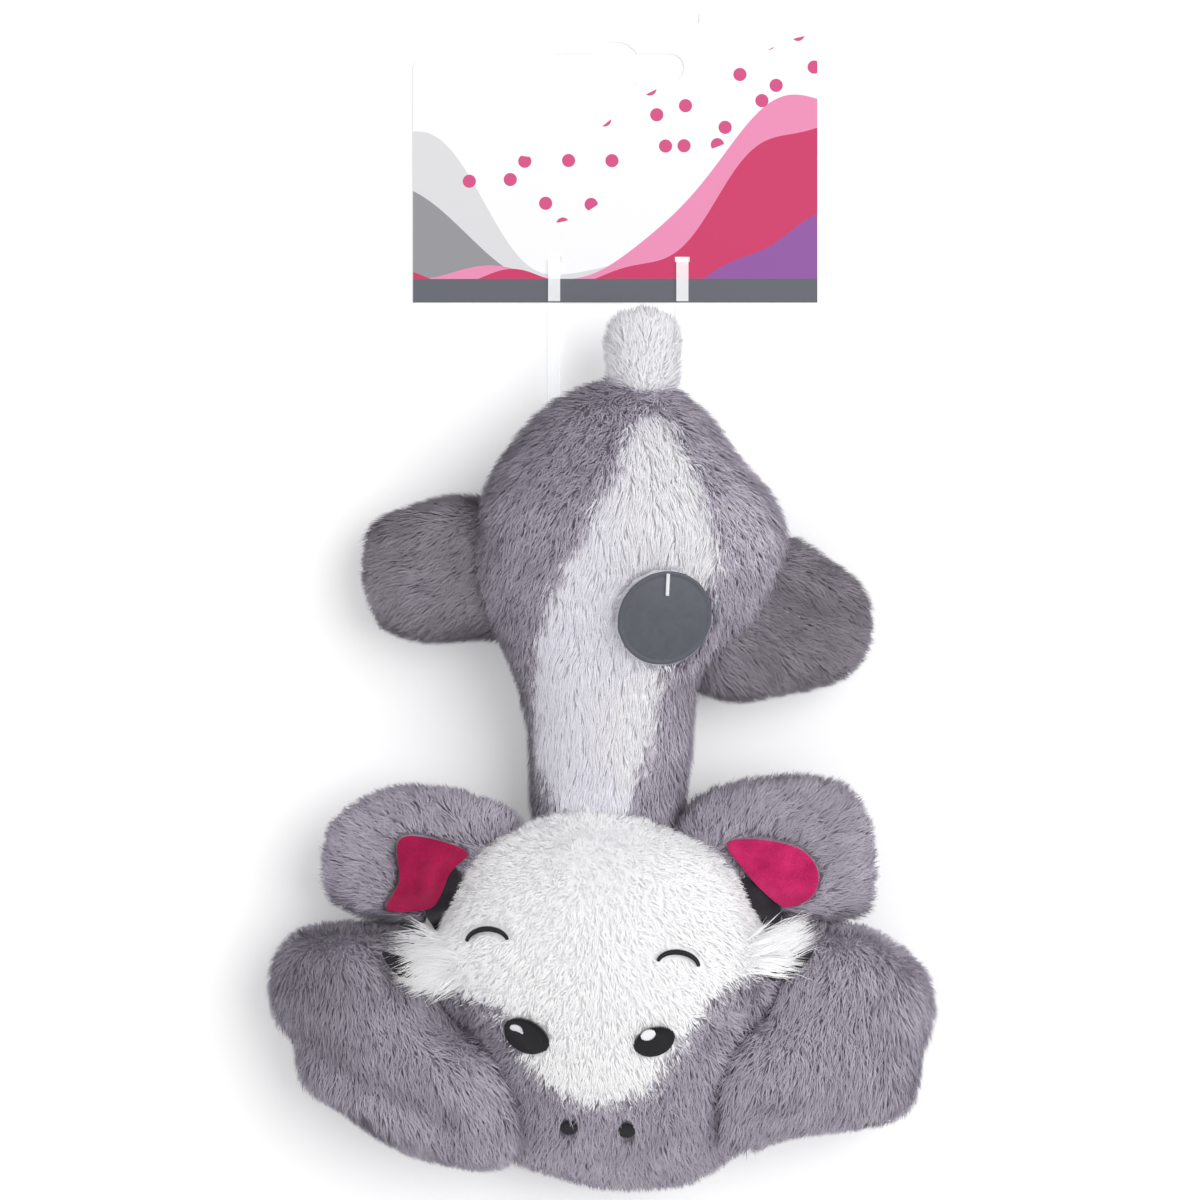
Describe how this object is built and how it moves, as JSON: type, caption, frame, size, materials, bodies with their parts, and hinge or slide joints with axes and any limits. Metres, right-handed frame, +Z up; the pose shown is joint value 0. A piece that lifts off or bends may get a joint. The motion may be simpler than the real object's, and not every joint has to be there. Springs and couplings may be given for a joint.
{
  "type": "plush dog toy",
  "caption": "Plush animal dog toy lying on its belly, with squeaker, press badge, soft limbs and tail, strapped to a header card.",
  "frame": {"origin": "on the floor, under the middle of the whole object's box", "axes": "+Z up, tail and header card towards +Y, nose towards -Y, +X to the right seen from above"},
  "size_m": [0.1538, 0.27, 0.055],
  "materials": {
    "grey_plush": "long soft pile",
    "white_plush": "long soft pile",
    "pale_plush": "fluffy pile",
    "fibre_fill": "loose fibre",
    "pink_felt": "felt",
    "black_felt": "felt",
    "black_thread": "satin stitch",
    "white_thread": "satin stitch",
    "badge_plastic": "matte",
    "clear_plastic": "clear",
    "squeaker_plastic": "satin",
    "printed_card": "coated print"
  },
  "bodies": {
    "torso": {"torso_back_panel": "grey_plush", "back_stripe_panel": "white_plush", "torso_belly_panel": "grey_plush", "torso_stuffing": "fibre_fill", "squeaker_bulb": "squeaker_plastic", "squeaker_reed": "squeaker_plastic", "strap_left_to_toy": "clear_plastic", "strap_right_to_toy": "clear_plastic"},
    "press_button": {"press_badge": "badge_plastic", "badge_tag_pin": "clear_plastic", "press_patch": "white_plush"},
    "head": {"head_face_panel": "white_plush", "muzzle_panel": "grey_plush", "head_under_panel": "grey_plush", "head_stuffing": "fibre_fill", "eye_left": "black_thread", "eye_highlight_left": "white_thread", "brow_left": "black_thread", "nostril_left": "black_thread", "cheek_tab_left": "black_felt", "eye_right": "black_thread", "eye_highlight_right": "white_thread", "brow_right": "black_thread", "nostril_right": "black_thread", "cheek_tab_right": "black_felt"},
    "tail": {"tail_upper_panel": "pale_plush", "tail_lower_panel": "pale_plush", "tail_stuffing": "fibre_fill"},
    "header_card": {"header_card": "printed_card", "strap_left_on_card": "clear_plastic", "strap_right_on_card": "clear_plastic"},
    "ear_left": {"ear_left_front_panel": "grey_plush", "ear_left_back_panel": "grey_plush", "ear_left_stuffing": "fibre_fill", "ear_left_lining": "pink_felt", "ear_left_root_felt": "black_felt"},
    "front_paw_left": {"front_paw_left_upper_panel": "grey_plush", "front_paw_left_lower_panel": "grey_plush", "front_paw_left_stuffing": "fibre_fill"},
    "hind_leg_left": {"hind_leg_left_upper_panel": "grey_plush", "hind_leg_left_lower_panel": "grey_plush", "hind_leg_left_stuffing": "fibre_fill"},
    "ear_right": {"ear_right_front_panel": "grey_plush", "ear_right_back_panel": "grey_plush", "ear_right_stuffing": "fibre_fill", "ear_right_lining": "pink_felt", "ear_right_root_felt": "black_felt"},
    "front_paw_right": {"front_paw_right_upper_panel": "grey_plush", "front_paw_right_lower_panel": "grey_plush", "front_paw_right_stuffing": "fibre_fill"},
    "hind_leg_right": {"hind_leg_right_upper_panel": "grey_plush", "hind_leg_right_lower_panel": "grey_plush", "hind_leg_right_stuffing": "fibre_fill"}
  },
  "joints": [
    {"name": "neck_lift", "type": "hinge", "parent": "torso", "child": "head", "pos_m": [0.00003, -0.0475, 0.02688], "axis": [-1, 0, 0], "range_deg": [0, 20], "stiffness_Nm_per_rad": 0.02},
    {"name": "tail_wag", "type": "hinge", "parent": "torso", "child": "tail", "pos_m": [0.00982, 0.0494, 0], "axis": [0, 0, 1], "range_deg": [-20, 20], "stiffness_Nm_per_rad": 0.005},
    {"name": "card_fold", "type": "hinge", "parent": "torso", "child": "header_card", "pos_m": [0.00423, 0.06775, 0.0011], "axis": [1, 0, 0], "range_deg": [0, 80]},
    {"name": "badge_press", "type": "slide", "parent": "torso", "child": "press_button", "axis": [0, 0, -1], "range_m": [0, 0.004], "stiffness_N_per_m": 400, "deforming": ["squeaker_bulb"]},
    {"name": "ear_lift_left", "type": "hinge", "parent": "head", "child": "ear_left", "pos_m": [-0.03095, -0.06098, 0.029], "axis": [0.5798, 0.8147, 0], "range_deg": [0, 35], "stiffness_Nm_per_rad": 0.005},
    {"name": "paw_swing_left", "type": "hinge", "parent": "head", "child": "front_paw_left", "pos_m": [-0.04309, -0.08198, 0], "axis": [0, 0, -1], "range_deg": [0, 20], "stiffness_Nm_per_rad": 0.01},
    {"name": "ear_lift_right", "type": "hinge", "parent": "head", "child": "ear_right", "pos_m": [0.031, -0.06098, 0.029], "axis": [0.5798, -0.8147, 0], "range_deg": [0, 35], "stiffness_Nm_per_rad": 0.005},
    {"name": "paw_swing_right", "type": "hinge", "parent": "head", "child": "front_paw_right", "pos_m": [0.04315, -0.08198, 0], "axis": [0, 0, 1], "range_deg": [0, 20], "stiffness_Nm_per_rad": 0.01},
    {"name": "hind_leg_swing_left", "type": "hinge", "parent": "torso", "child": "hind_leg_left", "pos_m": [-0.02714, 0.00405, 0], "axis": [0, 0, -1], "range_deg": [-15, 15], "stiffness_Nm_per_rad": 0.01},
    {"name": "hind_leg_swing_right", "type": "hinge", "parent": "torso", "child": "hind_leg_right", "pos_m": [0.03578, -0.00599, 0], "axis": [0, 0, 1], "range_deg": [-15, 15], "stiffness_Nm_per_rad": 0.01}
  ]
}
